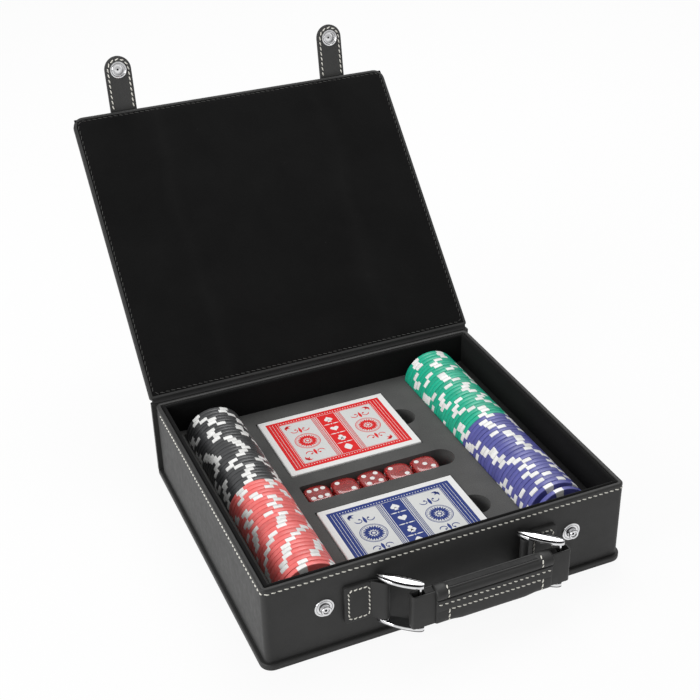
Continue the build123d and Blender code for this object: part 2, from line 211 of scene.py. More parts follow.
def rounded_path(x0, x1, y0, y1, radius, spacing=8.0, arc_steps=7):
    """A closed rounded rectangle as (x, y, normal x, normal y), anticlockwise"""
    radius = min(radius, (x1 - x0) / 2 - 1e-3, (y1 - y0) / 2 - 1e-3)
    centres = [(x1 - radius, y0 + radius), (x1 - radius, y1 - radius),
               (x0 + radius, y1 - radius), (x0 + radius, y0 + radius)]
    path = []
    for k, (cx, cy) in enumerate(centres):
        for a in steps(radians(90 * k - 90), radians(90 * k), arc_steps):
            path.append((*on_circle(radius, a, cx, cy), cos(a), sin(a)))
        x, y, nx, ny = path[-1]
        end = on_circle(radius, a, *centres[(k + 1) % 4])
        count = int(hypot(end[0] - x, end[1] - y) / spacing)
        for i in range(1, count):
            path.append((x + (end[0] - x) * i / count, y + (end[1] - y) * i / count, nx, ny))
    return path


def box_path(low, high, inset, radius):
    return rounded_path(low.x + inset, high.x - inset, low.y + inset, high.y - inset, radius, 6.0)


def stitches(piece, path, normal, slot=0, closed=False, pitch=STITCH_PITCH, size=STITCH_RADIUS,
             fill=0.78, slant=STITCH_SLANT):
    """A row of separate stitches, each arched over the surface and sunk at its ends"""
    path = [Vector(p) for p in path]
    if closed:
        path.append(path[0])
    ends = [0.0]
    for a, b in zip(path, path[1:]):
        ends.append(ends[-1] + (b - a).length)
    count = max(1, round(ends[-1] / pitch))
    step = ends[-1] / count
    half = fill * step / 2
    for k in range(count):
        reach = (k + 0.5) * step
        i = next(i for i in range(len(path) - 1) if reach <= ends[i + 1] or i == len(path) - 2)
        middle = path[i].lerp(path[i + 1], (reach - ends[i]) / max(ends[i + 1] - ends[i], 1e-6))
        ahead = (path[i + 1] - path[i]).normalized()
        out = Vector(normal(middle) if callable(normal) else normal).normalized()
        side = ahead.cross(out).normalized()
        rings = []
        for s in (-1.0, -0.8, -0.3, 0.3, 0.8, 1.0):
            radius = size * sqrt(max(0.02, 1 - s ** 4))
            centre = middle + ahead * (s * half) + side * (s * slant * half)
            centre += out * (size * (0.35 - 0.75 * s * s))
            rings.append([centre + side * u + out * v
                          for u, v in (on_circle(radius, a) for a in turns(6))])
        piece.skin(rings, slot, caps=True)


def lathe(piece, profile, place, slots=0, segments=56):
    """A turned form from (radius, height) pairs; place makes a point from (x, height, z);
    slots may be a dictionary of the slots of single rings"""
    rings = []
    for radius, height in profile:
        circle = [on_circle(max(radius, 0.02), a) for a in turns(segments)]
        rings.append([place(u, height, w) for u, w in circle])
    rule = (lambda r, i: slots.get(r, 0)) if isinstance(slots, dict) else slots
    piece.skin(rings, rule, caps=True)


def soft_section(width, height, edge, arc_steps=3):
    """A closed rounded rectangle of (u, v), centred"""
    path = rounded_path(-width / 2, width / 2, -height / 2, height / 2, edge, 1e6, arc_steps)
    return [(x, y) for x, y, _, _ in path]


# Materials

class Nodes:
    """Short names for building one node tree"""

    def __init__(self, tree):
        self.tree = tree

    def feed(self, socket, value):
        if isinstance(value, bpy.types.NodeSocket):
            self.tree.links.new(value, socket)
        else:
            socket.default_value = value

    def add(self, kind, **values):
        """A new node; each value is one of its settings, or a number or link for a socket"""
        made = self.tree.nodes.new("ShaderNode" + kind)
        for key, value in values.items():
            if hasattr(made, key):
                setattr(made, key, value)
            else:
                self.feed(made.inputs[key.replace("_", " ")], value)
        return made

    def maths(self, operation, a, b):
        made = self.add("Math", operation=operation)
        self.feed(made.inputs[0], a)
        self.feed(made.inputs[1], b)
        return made.outputs["Value"]

    def mixed(self, a, a_share, b, b_share):
        parts = [self.maths("MULTIPLY", a, a_share), self.maths("MULTIPLY", b, b_share)]
        return self.maths("ADD", *parts)

    def fit(self, value, low, high, to_low, to_high):
        made = self.add("MapRange", Value=value, From_Min=low, From_Max=high, To_Min=to_low,
                        To_Max=to_high)
        return made.outputs["Result"]

    def seen(self, mirrored):
        """1 where the camera looks or glass lets it look, and mirrored where gloss shows it"""
        rays = self.add("LightPath").outputs
        glossy = self.maths("MULTIPLY", rays["Is Glossy Ray"], mirrored)
        direct = self.maths("MAXIMUM", rays["Is Camera Ray"], glossy)
        return self.maths("MAXIMUM", direct, rays["Is Transmission Ray"])

    def mix_into(self, output, share, one, other):
        mix = self.add("MixShader", Fac=share)
        self.feed(mix.inputs[1], one.outputs[0])
        self.feed(mix.inputs[2], other.outputs[0])
        self.feed(output.inputs["Surface"], mix.outputs["Shader"])


class Surface(Nodes):
    """A material round its main shader, whose sockets take the settings"""

    def __init__(self, name, **settings):
        self.material = bpy.data.materials.new(name)
        self.material.use_nodes = True
        super().__init__(self.material.node_tree)
        self.shader = self.tree.nodes["Principled BSDF"]
        self.normal = None
        self.set(**settings)

    def set(self, **settings):
        for key, value in settings.items():
            self.feed(self.shader.inputs[key.replace("_", " ")], value)

    def place(self):
        return self.add("TexCoord").outputs["Object"]

    def across(self):
        """How far a point is to the right of the middle, in metres"""
        return self.add("SeparateXYZ", Vector=self.place()).outputs["X"]

    def texture(self, kind, scale, **values):
        return self.add("Tex" + kind, Vector=self.place(), Scale=scale, **values).outputs

    def noise(self, scale, **values):
        return self.texture("Noise", scale, **values)["Fac"]

    def paint(self, value, *stops):
        """Colours the surface by a ramp of (position, colour)"""
        made = self.add("ValToRGB", Fac=value)
        elements = made.color_ramp.elements
        while len(elements) < len(stops):
            elements.new(0.5)
        for element, (position, colour) in zip(elements, stops):
            element.position = position
            element.color = (*colour, 1)
        self.colouring = made.outputs["Color"]
        self.set(Base_Color=self.colouring)

    def shade(self, value, colour, *stops):
        """Paints one colour, times the factor of each (position, factor)"""
        self.paint(value, *[(at, [min(1.0, c * by) for c in colour]) for at, by in stops])

    def roughen(self, value, low, high):
        self.set(Roughness=self.fit(value, 0.3, 0.7, low, high))

    def bump(self, height, strength, distance):
        """Relief of so many millimetres, on top of the relief before it"""
        made = self.add("Bump", Height=height, Strength=strength, Distance=distance * MM)
        if self.normal:
            self.feed(made.inputs["Normal"], self.normal)
        self.normal = made.outputs["Normal"]
        self.set(Normal=self.normal)

    def shade_beyond(self, distance, share):
        """Paints shade: darkens the paint further than distance (mm) left or right of the middle"""
        away = self.maths("ABSOLUTE", self.across(), 0)
        shaded = self.fit(away, (distance - 0.3) * MM, (distance + 0.3) * MM, 1.0, share)
        made = self.add("VectorMath", operation="SCALE", Vector=self.colouring, Scale=shaded)
        self.set(Base_Color=made.outputs["Vector"])


def leather(name, colour, rough=0.52, shade_from=None):
    """Satin leather: pebbled grain, soft creases, faint scuffs; optional painted shade on the edges
    beyond a given distance
    """
    made = Surface(name, Specular_IOR_Level=0.38)
    scuff = made.noise(240, Detail=6.0, Roughness=0.7)
    level = made.mixed(made.noise(38, Detail=4.0), 0.6, scuff, 0.4)
    made.shade(level, colour, (0.3, 0.82), (0.55, 1), (0.72, 1.22))
    if shade_from:
        # painted shade: the leather beyond this distance from the middle is darkened as if the side
        # edges were out of the light
        made.shade_beyond(shade_from, 0.35)
    made.roughen(scuff, rough - 0.06, rough + 0.08)
    made.bump(made.noise(130, Detail=3.0), 0.12, 0.6)
    made.bump(made.texture("Voronoi", 1150, feature="SMOOTH_F1")["Distance"], 0.22, 0.12)
    return made.material


def velvet(name, streaks=()):
    """Short black pile with a grey sheen, lint specks and, on the lid, long rubbed streaks"""
    made = Surface(name, Roughness=0.95, Specular_IOR_Level=0.12, Sheen_Weight=0.1,
                   Sheen_Roughness=0.4)
    lint = made.fit(made.texture("Voronoi", 210)["Distance"], 0.05, 0.09, 1.0, 0.0)
    rare = made.fit(made.noise(75), 0.62, 0.68, 0.0, 1.0)
    cloud = made.noise(22, Detail=4.0, Roughness=0.6)
    level = made.mixed(cloud, 0.35, made.maths("MULTIPLY", lint, rare), 0.4)
    if streaks:
        wander = made.noise(16, Detail=3.0)
        shifted = made.maths("ADD", made.across(), made.fit(wander, 0.3, 0.7, -0.006, 0.006))
    for middle, width in streaks:
        away = made.maths("ABSOLUTE", made.maths("SUBTRACT", shifted, middle * MM), 0)
        band = made.maths("MULTIPLY", made.fit(away, 0.0, width * MM, 0.16, 0.0), wander)
        level = made.maths("ADD", level, band)
    made.paint(level, (0.08, (0.0035, 0.0035, 0.0036)), (0.3, (0.008, 0.008, 0.008)),
               (0.9, (0.06, 0.06, 0.06)))
    made.bump(made.noise(900, Detail=2.0), 0.5, 0.25)
    return made.material


def foam(name, wall_at):
    """Flocked foam: matt charcoal, faintly mottled, with painted shade where it meets the walls"""
    made = Surface(name, Roughness=0.9, Specular_IOR_Level=0.25, Sheen_Weight=0.12)
    flock = made.noise(1500, Detail=2.0)
    level = made.mixed(flock, 0.45, made.noise(30, Detail=5.0), 0.55)
    made.paint(level, (0.3, (0.055, 0.055, 0.054)), (0.5, (0.08, 0.08, 0.078)),
               (0.7, (0.11, 0.11, 0.107)))
    # painted shade: the foam darkens near the liner walls as a contact shadow
    made.shade_beyond(wall_at, 0.22)
    made.bump(flock, 0.45, 0.2)
    return made.material


def chrome(name, colour=(0.82, 0.82, 0.83)):
    """Bright chrome plate with faint buffing haze"""
    made = Surface(name, Metallic=1.0)
    haze = made.noise(300, Detail=4.0)
    made.shade(haze, colour, (0.3, 0.84), (0.7, 1))
    made.roughen(haze, 0.05, 0.14)
    return made.material


def thread(name, colour):
    """Waxed thread with the twist of its strands"""
    made = Surface(name, Roughness=0.7)
    twist = made.noise(1800, Detail=2.0)
    made.shade(twist, colour, (0.35, 0.88), (0.65, 1))
    made.bump(twist, 0.4, 0.08)
    return made.material


def composite(name, colour):
    """Moulded composite: fine mottling, each disc a shade apart"""
    made = Surface(name, Coat_Weight=0.5, Coat_Roughness=0.3)
    mottle = made.noise(420, Detail=4.0)
    level = made.mixed(mottle, 0.6, made.add("NewGeometry").outputs["Random Per Island"], 0.4)
    made.shade(level, colour, (0.25, 0.84), (0.5, 1), (0.75, 1.12))
    made.roughen(mottle, 0.37, 0.5)
    made.bump(mottle, 0.15, 0.08)
    return made.material


def paper(name, colour, rough=0.38):
    """Coated board with the faint tooth of its printed face"""
    made = Surface(name, Specular_IOR_Level=0.12)
    tooth = made.noise(950, Detail=3.0)
    level = made.mixed(tooth, 0.5, made.noise(45, Detail=3.0), 0.5)
    made.shade(level, colour, (0.3, 0.93), (0.6, 1))
    made.roughen(tooth, rough - 0.04, rough + 0.06)
    made.bump(tooth, 0.12, 0.05)
    return made.material


def acrylic(name):
    """Clear red acrylic with faint cloudiness and worn faces"""
    made = Surface(name, Transmission_Weight=0.66, IOR=1.49, Coat_Weight=0.35, Coat_IOR=1.7,
                   Coat_Roughness=0.03)
    cloud = made.noise(160, Detail=3.0)
    made.paint(cloud, (0.35, (0.74, 0.05, 0.048)), (0.65, (0.86, 0.11, 0.105)))
    made.roughen(cloud, 0.06, 0.16)
    return made.material


LEATHER = leather("cover_leather", (0.028, 0.028, 0.0275))
# The lid's side edge faces get painted shade beyond 117 mm, where the left lamp would light them
LEATHER_LID = leather("lid_cover_leather", (0.028, 0.028, 0.0275), shade_from=117.0)
LEATHER_LIGHT = leather("strap_inner_leather", (0.062, 0.062, 0.061), 0.55)
# Near-black leather: painted shade for the crease of the hinge fold; the handle core wears it too
LEATHER_SHADED = leather("fold_leather_painted_shade", (0.009, 0.009, 0.009), 0.62)
VELVET = velvet("wall_velvet")
LID_VELVET = velvet("lid_velvet", [(-62, 8), (58, 10)])
FOAM = foam("flocked_foam", 103.6)
CHROME = chrome("chrome")
# Two dark copies of chrome: the first is painted darker reflection, the second painted shade in
# grooves and holes
CHROME_SHADE = chrome("chrome_shade", (0.13, 0.13, 0.133))
CHROME_GROOVE_SHADE = chrome("chrome_groove_shade", (0.035, 0.035, 0.037))
THREAD = thread("cream_thread", (1.0, 0.98, 0.89))
THREAD_GREY = thread("grey_thread", (0.085, 0.085, 0.08))
WHITE_CHIP = composite("chip_white", (0.9, 0.9, 0.88))
CHIP_COLOURS = {
    "black": composite("chip_black", (0.045, 0.046, 0.048)),
    "red": composite("chip_red", (0.9, 0.17, 0.16)),
    "green": composite("chip_green", (0.006, 0.44, 0.27)),
    "blue": composite("chip_blue", (0.095, 0.1, 0.36)),
}
BOARD_WHITE = paper("carton_white", (0.86, 0.86, 0.85))
PANEL = paper("carton_panel", (0.7, 0.71, 0.7))
INKS = {
    "red": paper("ink_red", (0.76, 0.018, 0.02)),
    "blue": paper("ink_blue", (0.018, 0.04, 0.21)),
}
CARDS = paper("card_edges", (0.8, 0.79, 0.76), 0.6)
BOARD = paper("grey_board", (0.3, 0.27, 0.22), 0.8)
ACRYLIC = acrylic("clear_red")
PIP = paper("pip_white", (0.85, 0.85, 0.83), 0.3)


def dress(material, *nodes):
    """Gives CAD nodes that are shown as they are their material"""
    for name in nodes:
        mesh = frame["nodes"][name].data
        mesh.materials.clear()
        mesh.materials.append(material)


dress(LEATHER, "base_leather", "spine_leather", "spine_board")
dress(LEATHER_LID, "lid_leather")
dress(VELVET, "liner_front", "liner_back", "liner_left", "liner_right", "floor_card")
dress(FOAM, "foam_tray")
dress(CHROME, "stud_rivets")
dress(CARDS, "card_pack_red", "card_pack_blue")
dress(BOARD, "base_board", "lid_board", "wall_front", "wall_back", "wall_left", "wall_right")
dress(LEATHER_SHADED, "handle_core")


# Walls: one leather skin, turned over the rim and stitched below it

RIM_WIDTH = 2.8
HEM_DEPTH = 8.0
RIM_STITCH_DROP = 3.3
WALL_CORNER = 3.5
WALL_PATH = box_path(WALL_LOW, WALL_HIGH, 0, WALL_CORNER)


def wall_skin():
    low_part = [(0.0, WALL_LOW.z), (0.0, 16.0), (0.0, 30.0), (0.0, 44.0)]
    rim = [(0.02, 6.0), (-0.02, 4.2), (-0.2, RIM_STITCH_DROP), (0.02, 2.5), (0.12, 1.6),
           (0.02, 0.7), (-0.4, 0.16), (-1.0, 0.0), (-1.8, 0.0), (-2.4, 0.18), (-2.75, 0.7),
           (-RIM_WIDTH, 2.5), (-RIM_WIDTH, HEM_DEPTH)]
    profile = low_part + [(offset, RIM - drop) for offset, drop in rim]

    def place(x, y, nx, ny, offset, z):
        offset += 0.14 * noise.noise(Vector((x, y, z)) * 0.035)
        return x + nx * offset, y + ny * offset, z

    piece = Piece()
    piece.skin([[place(*at, *p) for p in profile] for at in WALL_PATH], joined=True)
    piece.make("wall_leather", [LEATHER], "root", ["side_leather"])


def rim_stitching():
    """One row round the left, front and right walls; the left's are shorter and thicker"""
    shown = [p for p in WALL_PATH if p[1] < WALL_HIGH.y - WALL_CORNER]
    start = next(i for i, p in enumerate(shown) if p[0] < 0 and p[1] > WALL_HIGH.y - 16)

    def outward(p):
        nearest = min(shown, key=lambda q: (q[0] - p.x) ** 2 + (q[1] - p.y) ** 2)
        return Vector((*nearest[2:], 0))

    points = [Vector((x, y, RIM - RIM_STITCH_DROP)) for x, y, _, _ in shown[start:] + shown[:start]]
    points = [p - outward(p) * 0.16 for p in points]
    corner = next(i for i, p in enumerate(points) if outward(p).y < -0.7)
    piece = Piece()
    stitches(piece, points[:corner + 1], outward, fill=0.52, size=0.5)
    stitches(piece, points[corner:], outward)
    piece.make("rim_stitching", [THREAD], "root")


# Lid: lining with a sewn border, and the fold that hinges it

LINING_MARGIN = 1.4
LINING_PROUD = 0.27
LINING_STITCH = 3.2
COVER_STITCH = 3.4


def lid_lining():
    """The velvet sheet inside the lid, puckered a little at its sewn border"""
    half = LID_HIGH.x - LINING_MARGIN
    front = LID_LOW.y + LINING_MARGIN
    back = LID_HIGH.y - LINING_MARGIN

    def place(x, y):
        inset = min(half - abs(x), y - front, back - y)
        if inset < 0.01:
            return x, y, LID_LOW.z + 0.3
        pucker = 0.16 * exp(-((inset - LINING_STITCH + LINING_MARGIN) / 1.6) ** 2)
        swell = 0.176 * noise.noise(Vector((x * 0.02, y * 0.012, 3.0))) * min(1.0, inset / 12)
        return x, y, LID_LOW.z - LINING_PROUD + pucker - swell

    piece = Piece()
    piece.skin([[place(x, y) for x in steps(-half, half, 90)] for y in steps(front, back, 80)],
               closed=False)
    piece.make("lid_velvet_lining", [LID_VELVET], "lid", ["lid_lining"], lid_open)


def lid_stitching(name, material, inset, radius, z, up, size):
    piece = Piece()
    path = [(x, y, z) for x, y, _, _ in box_path(LID_LOW, LID_HIGH, inset, radius)]
    stitches(piece, path, (0, 0, up), closed=True, size=size)
    piece.make(name, [material], "lid", place=lid_open)


def hinge_fold():
    """The leather fold between spine and lid, bulging out behind the hinge"""
    turn = pi - OPEN
    forward = Vector((0, cos(turn), sin(turn)))
    outward = Vector((0, sin(turn), -cos(turn)))
    spine_high = cad_box("spine_leather")[1]
    root_s = (spine_high - HINGE).dot(forward)
    root_w = (spine_high - HINGE).dot(outward)
    lid_s = HINGE.y - LID_HIGH.y
    lid_out = LID_HIGH.z - HINGE.z
    lid_in = LID_LOW.z - HINGE.z
    outer = [(root_s - 0.3 + (lid_s + 0.3 - root_s) * t,
              root_w - 0.15 + (lid_out - root_w) * t + 1.25 * sin(pi * t)) for t in steps(0, 1, 12)]
    inner = [(lid_s + 0.2 - (2.1 + lid_s) * t,
              lid_in + 0.25 + (root_w - lid_in) * 0.2 * t + 0.35 * sin(pi * t))
             for t in steps(0, 1, 8)]
    section = [HINGE + forward * s + outward * w for s, w in outer + inner]
    half = spine_high.x - 1.5
    rings = []
    for x in steps(-half, half, 60):
        sways = [0.12 * noise.noise(Vector((x * 0.12, p.y, p.z))) for p in section]
        rings.append([(x, p.y + sway, p.z + sway) for p, sway in zip(section, sways)])
    piece = Piece()
    piece.skin(rings, caps=True)
    # The fold's near-black leather is painted shade in the crease behind the hinge
    fold = piece.make("hinge_fold", [LEATHER_SHADED], None, ["hinge_leather"])
    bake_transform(fold)


# Closing straps

STRAP_THICK = 2.4
STRAP_HALF = 9.35
STRAP_BEND = 3.8
STRAP_ROOT = 40.0
STRAP_CORNER = 3.0
STRAP_STITCH = 2.1
SOCKET_REACH = 29.1
BORE = 3.9
BORE_DEPTH = 2.0
FLAT_STEPS = 28
# Plain chrome, then painted darker reflection, then painted shade in grooves and holes
SNAP_METALS = [CHROME, CHROME_SHADE, CHROME_GROOVE_SHADE]


def strap_section(half, s):
    """The outline (u, t) of the strap at s: its inner face with the bore, then painted edges"""
    edge = min(0.45, half * 0.4)
    mid = STRAP_THICK / 2
    inner = [(u, BORE_DEPTH if hypot(u, s - SOCKET_REACH) < BORE else 0.0)
             for u in steps(edge - half, half - edge, FLAT_STEPS)]
    right = [(half - edge * 0.3, edge * 0.3), (half, edge), (half, mid - 0.18), (half - 0.22, mid),
             (half, mid + 0.18), (half, STRAP_THICK - edge),
             (half - edge * 0.3, STRAP_THICK - edge * 0.3), (half - edge, STRAP_THICK)]
    return inner + right + [(-u, t) for u, t in reversed(right)]


def strap(side):
    """One strip from its sewn root on the lid to its round tip, bent at the lid's edge"""
    pivot = lid_shut(joint_place("strap_%s_fold" % side))
    reach = STRAP_BEND * tan(STRAP_SET / 2)
    centre = pivot + Vector((0, reach, -STRAP_BEND))
    flap_dir = Vector((0, -cos(STRAP_SET), -sin(STRAP_SET)))
    flap_out = Vector((0, -sin(STRAP_SET), cos(STRAP_SET)))

    def place(u, s, t):
        # u across the strap, s along it from the lid's edge, t outwards from its inner face
        if s < -reach:
            return pivot + Vector((u, -s, t))
        if s > reach:
            return pivot + X * u + flap_dir * s + flap_out * t
        a = STRAP_SET * (s + reach) / (2 * reach)
        r = STRAP_BEND + t
        return centre + Vector((u, -r * sin(a), r * cos(a)))

    straight = [-30, -20, -10, -4, *steps(-reach, reach, 6), 5, 12, 18, 22,
                *steps(SOCKET_REACH - 4.8, SOCKET_REACH - 0.6, 7)]
    stations = [(STRAP_CORNER * (1 - cos(a)) - STRAP_ROOT, STRAP_HALF - STRAP_CORNER * (1 - sin(a)))
                for a in steps(0, pi / 2, 4)]
    stations += [(s, STRAP_HALF) for s in straight]
    stations += [(SOCKET_REACH + STRAP_HALF * sin(a), STRAP_HALF * cos(a))
                 for a in steps(0, radians(87), 24)]
    flap_from = next(k for k, station in enumerate(stations) if station[0] >= reach)
    piece = Piece()
    piece.skin([[place(u, s, t) for u, t in strap_section(half, s)] for s, half in stations],
               lambda r, i: 2 if i < FLAT_STEPS and r >= flap_from else 0, caps=True)
    line = STRAP_HALF - STRAP_STITCH
    root = STRAP_STITCH - STRAP_ROOT

    def sewn(first, t, out_of, slant):
        left = [(-line, s) for s in (first, -10, -4, -reach, 0, reach, 5, 15, SOCKET_REACH)
                if s >= first]
        tip = [(line * sin(a), SOCKET_REACH + line * cos(a)) for a in steps(-pi / 2, pi / 2, 16)]
        path = left + tip[1:-1] + [(-u, s) for u, s in reversed(left)]
        stitches(piece, [place(u, s, t) for u, s in path], out_of, 1, pitch=3.6, fill=0.8,
                 slant=slant)

    sewn(root, STRAP_THICK, lambda p: (0, 0, 1) if p.y > pivot.y + reach else flap_out,
         STITCH_SLANT)
    sewn(reach + 0.6, 0.0, -flap_out, -STITCH_SLANT)
    stitches(piece, [place(u, root, STRAP_THICK) for u in steps(-line, line, 4)], (0, 0, 1), 1)
    strip = piece.make("strap_leather_" + side, [LEATHER, THREAD, LEATHER_LIGHT],
                       replaces=["strap_%s_%s" % (part, side) for part in ("root", "fold", "flap")],
                       place=lid_open)
    lid_open(place(0, -reach, STRAP_THICK / 2)) * MM
    lid_open(place(0, reach, STRAP_THICK / 2)) * MM
    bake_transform(strip)

    def on_flap(u, h, w):
        # w runs along the flap, h outwards from its inner face
        return lid_open(pivot + X * u + flap_dir * (SOCKET_REACH + w) + flap_out * h)

    socket = Piece()
    profile = [(0.0, 2.25), (3.7, 2.25), (3.75, 0.3), (5.9, 0.1), (5.9, -0.5), (5.72, -0.82),
               (5.35, -0.95), (4.95, -0.9), (4.75, -0.68), (4.5, -0.66), (4.3, -0.84),
               (3.95, -0.95), (3.65, -0.9), (3.45, -0.6), (3.4, 0.3), (3.35, 1.7), (3.0, 1.8),
               (1.4, 1.72), (1.0, 1.58), (0.75, 1.62), (0.6, 1.95), (0.0, 2.0)]
    # Rings 8 and 14 get painted darker reflection; rings 19 and 20 get painted shade in the centre
    # hole
    lathe(socket, profile, on_flap, {8: 1, 14: 1, 19: 2, 20: 2})
    socket.make("snap_socket_ring_" + side, SNAP_METALS, "strap_" + side,
                ["snap_socket_" + side])
    cap = Piece()
    dome = [(6.2, -0.05), (6.3, 0.25), (6.15, 0.6), (5.6, 0.95), (4.6, 1.3), (3.2, 1.6),
            (1.6, 1.76), (0.0, 1.8)]
    lathe(cap, [(r, STRAP_THICK + h) for r, h in dome], on_flap)
    cap.make("snap_dome_" + side, [CHROME], "strap_" + side, ["snap_cap_" + side])


def stud(side):
    """The snap's stud on the front wall: stepped dish, raised ring and a dimpled post"""
    low, high = cad_box("snap_stud_" + side)
    middle = (low + high) / 2
    reach = WALL_LOW.y - low.y
    dish = [(6.0, -0.3), (6.0, 0.45), (5.85, 0.72), (5.5, 0.88), (5.1, 0.85), (4.85, 0.66),
            (4.55, 0.62), (4.3, 0.7), (3.95, 0.78), (3.65, 0.7), (3.35, 0.62), (3.0, 0.7),
            (2.85, 1.1)]
    post = [(2.9, 1.6), (3.08, 1.0), (3.05, 0.45), (2.85, 0.1), (2.45, 0.0), (2.05, 0.08),
            (1.75, 0.4), (1.55, 0.9), (0.95, 1.0), (0.75, 1.1), (0.6, 1.6), (0.0, 1.7)]
    piece = Piece()
    # Rings 5, 10 and 19 get painted darker reflection; rings 11, 22 and 23 get painted shade in the
    # groove and the centre hole
    lathe(piece, dish + [(r, reach - depth) for r, depth in post],
          lambda u, h, w: (middle.x + u, WALL_LOW.y - h, middle.z + w),
          {5: 1, 10: 1, 11: 2, 19: 1, 22: 2, 23: 2})
    piece.make("snap_post_" + side, SNAP_METALS, "root", ["snap_stud_" + side])


# Carrying handle

TAB_HEIGHT = 26.0
TAB_LAYER = 1.2
TAB_ROUND = 2.9
PATCH_NEAR = 51.0
PATCH_FAR = 68.0


def tangent(px, py, cx, cy, radius, side):
    """The angle at which a line from a point touches a circle"""
    return atan2(py - cy, px - cx) + side * acos(radius / hypot(px - cx, py - cy))


def swept_strip(piece, path, thickness, height, z0, joined=False):
    """A soft-edged band of leather along (x, y, normal x, normal y), thickness inwards"""
    section = soft_section(thickness, height, min(0.45, thickness * 0.4))
    shifts = [(u - thickness / 2, z0 + v) for u, v in section]
    piece.skin([[(x + nx * shift, y + ny * shift, z) for shift, z in shifts]
                for x, y, nx, ny in path], joined=joined, caps=not joined)


def soft_patch(piece, x0, x1, z0, z1, y_wall, thickness, radius):
    """A flat leather patch on the front wall with rounded corners and softened edges"""
    path = rounded_path(x0, x1, z0, z1, radius, 3.0)
    profile = [(0.0, 0.0), (0.0, thickness - 0.7), (-0.12, thickness - 0.3),
               (-0.45, thickness - 0.06), (-0.9, thickness), (-1.7, thickness)]
    piece.skin([[(x + nx * offset, y_wall - rise, z + nz * offset) for x, z, nx, nz in path]
                for offset, rise in profile], caps=True)


def tab(side):
    """A strip from the wall round its pin and back, and its sewn patch; the left one is mirrored"""
    sign = -1 if side == "left" else 1
    pin = joint_place("link_%s_swing" % side)
    root = PATCH_NEAR + 1.0
    wall_y = WALL_LOW.y
    outer_y = wall_y - 2 * TAB_LAYER
    pin_x = abs(pin.x)
    front = tangent(root, outer_y, pin_x, pin.y, TAB_ROUND, -1)
    wall = tangent(root, wall_y, pin_x, pin.y, TAB_ROUND, 1)
    sweep = (front - wall) % (2 * pi)

    def arc(a):
        return *on_circle(TAB_ROUND, a, pin_x, pin.y), cos(a), sin(a)

    def straight(a, y, shares):
        x1, y1, nx, ny = arc(a)
        return [(root + (x1 - root) * t, y + (y1 - y) * t, nx, ny) for t in shares]

    path = straight(front, outer_y, (0, 0.25, 0.5, 0.75))
    path += [arc(a) for a in steps(front, front - sweep, 16)]
    path += straight(wall, wall_y - 0.02, (2 / 3, 1 / 3, 0))
    piece = Piece()
    swept_strip(piece, path, TAB_LAYER, TAB_HEIGHT, pin.z)
    soft_patch(piece, PATCH_NEAR, PATCH_FAR, pin.z - TAB_HEIGHT / 2, pin.z + TAB_HEIGHT / 2, wall_y,
               2 * TAB_LAYER, 2.2)
    sewn = rounded_path(PATCH_NEAR + 1.8, PATCH_FAR - 2.6, pin.z - 10.4, pin.z + 10.2, 2.4, 4.0)
    stitches(piece, [(x, outer_y, z) for x, z, _, _ in sewn], (0, -1, 0), 1, closed=True, pitch=3.0)
    piece.make("handle_tab_leather_" + side, [LEATHER, THREAD], "root",
               ["handle_tab_" + side], lambda p: Vector((sign * p.x, p.y, p.z)))


BAR_THICK = 3.2
BAR_REACH = (15.15, 12.75)
BAR_BLUNT = (0.25, 0.5)
BAR_WIDTH = 7.6
BAR_STEP = 2.1
# Faces of the bar section: slot 1 is painted shade along the groove, slot 2 painted darker
# reflection streaks on the crown
BAR_SLOTS = {3: 1, 4: 1, 5: 1, 6: 1, 8: 2, 10: 2, 14: 2, 15: 1, 16: 1, 17: 1, 18: 1}


def bar_section(half, crown):
    """Side, groove and crown of a link bar as (across, height)"""
    sides = [(0.94, 0.0), (1.0, 0.22), (1.0, BAR_STEP - 0.6), (0.95, BAR_STEP - 0.42),
             (0.7, BAR_STEP - 0.38), (0.66, BAR_STEP + 0.05)]
    sides += [(u, BAR_STEP + share * crown) for u, share in
              ((0.74, 0.3), (0.8, 0.42), (0.77, 0.62), (0.56, 0.84), (0.28, 0.96))]
    outline = sides + [(0.0, BAR_STEP + crown)] + [(-u, h) for u, h in reversed(sides)]
    return [(u * half, h) for u, h in outline]


